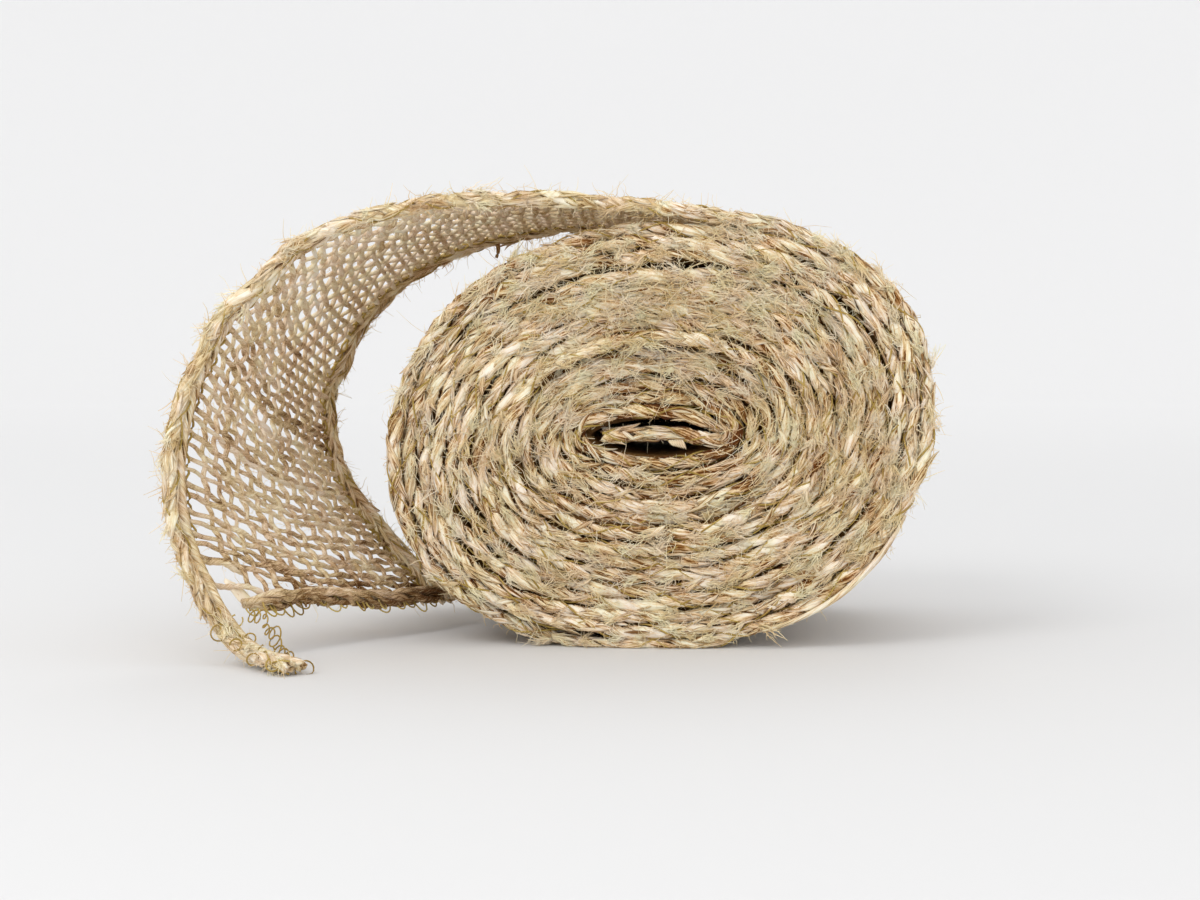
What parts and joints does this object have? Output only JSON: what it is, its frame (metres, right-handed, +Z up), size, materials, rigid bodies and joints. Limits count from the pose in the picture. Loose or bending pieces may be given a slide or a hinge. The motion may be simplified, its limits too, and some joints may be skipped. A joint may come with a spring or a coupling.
{
  "type": "jute ribbon roll",
  "caption": "Coreless roll of open-mesh jute ribbon lying on its side, with thick bound selvedges and a free tail that arches from the top down to the table.",
  "frame": {"origin": "the middle of the flat that the roll rests on, halfway between the roll's front and back faces", "axes": "+Z up from the table, +Y into the roll along its winding axis, from its front face to its back face, +X to the right seen from the front, away from the tail"},
  "size_m": [0.1372, 0.0932, 0.0837],
  "materials": {
    "jute_selvedge": "rough natural jute strands, straw coloured, with loose fibres",
    "stitching_thread": "thin hard olive-brown stitching thread with a slight sheen",
    "jute_net": "single twisted jute yarns knotted into an open net, tan"
  },
  "bodies": {
    "roll": {"front_selvedge_coil": "jute_selvedge", "front_stitching_coil": "stitching_thread", "web_coil": "jute_net", "back_stitching_coil": "stitching_thread", "back_selvedge_coil": "jute_selvedge", "peel_fold_yarn": "jute_net"},
    "inner_end": {"inner_end_front_selvedge": "jute_selvedge", "inner_end_web": "jute_net", "inner_end_back_selvedge": "jute_selvedge"},
    "tail_peel": {"peel_front_selvedge": "jute_selvedge", "peel_front_stitching": "stitching_thread", "peel_web": "jute_net", "peel_back_stitching": "stitching_thread", "peel_back_selvedge": "jute_selvedge", "crown_fold_yarn": "jute_net"},
    "tail_crown": {"crown_front_selvedge": "jute_selvedge", "crown_front_stitching": "stitching_thread", "crown_web": "jute_net", "crown_back_stitching": "stitching_thread", "crown_back_selvedge": "jute_selvedge", "shoulder_fold_yarn": "jute_net"},
    "tail_shoulder": {"shoulder_front_selvedge": "jute_selvedge", "shoulder_front_stitching": "stitching_thread", "shoulder_web": "jute_net", "shoulder_back_stitching": "stitching_thread", "shoulder_back_selvedge": "jute_selvedge", "side_fold_yarn": "jute_net"},
    "tail_side": {"side_front_selvedge": "jute_selvedge", "side_front_stitching": "stitching_thread", "side_web": "jute_net", "side_back_stitching": "stitching_thread", "side_back_selvedge": "jute_selvedge", "foot_fold_yarn": "jute_net"},
    "tail_foot": {"foot_front_selvedge": "jute_selvedge", "foot_front_stitching": "stitching_thread", "foot_web": "jute_net", "foot_back_stitching": "stitching_thread", "foot_back_selvedge": "jute_selvedge", "selvedge_tip_fold_yarn": "jute_net"},
    "tail_tip": {"selvedge_tip": "jute_selvedge"}
  },
  "joints": [
    {"name": "inner_end_pull", "type": "slide", "parent": "roll", "child": "inner_end", "axis": [0, -1, 0], "range_m": [0, 0.02]},
    {"name": "peel_fold", "type": "hinge", "parent": "roll", "child": "tail_peel", "pos_m": [0.0253, -0.03, 0.07781], "axis": [0, 1, 0], "range_deg": [0, 40]},
    {"name": "crown_fold", "type": "hinge", "parent": "tail_peel", "child": "tail_crown", "pos_m": [-0.0155, -0.0335, 0.0825], "axis": [0.0082, 0.9997, -0.0246], "range_deg": [0, 30]},
    {"name": "shoulder_fold", "type": "hinge", "parent": "tail_crown", "child": "tail_shoulder", "pos_m": [-0.05053, -0.03733, 0.07845], "axis": [0.0364, 0.9868, -0.1578], "range_deg": [0, 30]},
    {"name": "side_fold", "type": "hinge", "parent": "tail_shoulder", "child": "tail_side", "pos_m": [-0.07338, -0.04195, 0.06077], "axis": [0.1771, 0.946, -0.2716], "range_deg": [0, 35]},
    {"name": "foot_fold", "type": "hinge", "parent": "tail_side", "child": "tail_foot", "pos_m": [-0.08134, -0.04688, 0.03602], "axis": [0.4559, 0.8629, -0.2179], "range_deg": [-1, 35]},
    {"name": "selvedge_tip_fold", "type": "hinge", "parent": "tail_foot", "child": "tail_tip", "pos_m": [-0.0745, -0.0505, 0.01], "axis": [0.6457, 0.7601, -0.0736], "range_deg": [-12, 40]}
  ]
}
